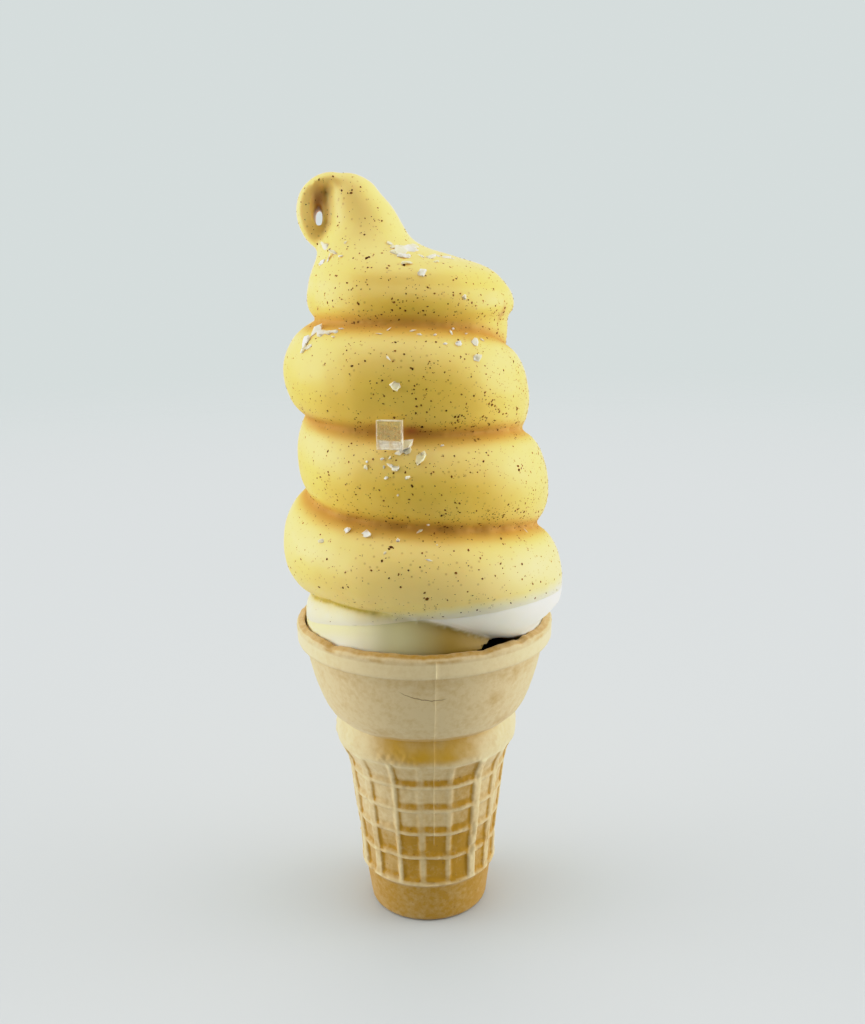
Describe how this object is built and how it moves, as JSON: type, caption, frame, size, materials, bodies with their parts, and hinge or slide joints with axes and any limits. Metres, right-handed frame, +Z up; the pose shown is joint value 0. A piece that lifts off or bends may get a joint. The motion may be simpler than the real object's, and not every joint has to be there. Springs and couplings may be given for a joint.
{
  "type": "soft serve cone",
  "caption": "Flat-bottomed waffle-footed wafer cone with a tall swirl of vanilla soft serve, dipped in a pale yellow coat with salt flakes and a curled tip.",
  "frame": {"origin": "centre of the flat bottom of the cone's foot, on the surface it stands on", "axes": "+Z up along the cone, from the foot to the curled tip; -Y towards the front, where the mould seam is; +X to the right seen from the front, so the tip leans towards -X"},
  "size_m": [0.0746, 0.0719, 0.1988],
  "materials": {
    "wafer": "baked wafer, matte, pale at the bowl and browner in the waffle",
    "soft_serve": "smooth satin dairy white",
    "dip": "satin pale yellow dip coat with fine brown specks",
    "salt": "clear to white salt flake"
  },
  "bodies": {
    "root": {"wafer_cone": "wafer", "soft_serve": "soft_serve", "dip_coat": "dip", "salt_crystal": "salt"}
  },
  "joints": []
}
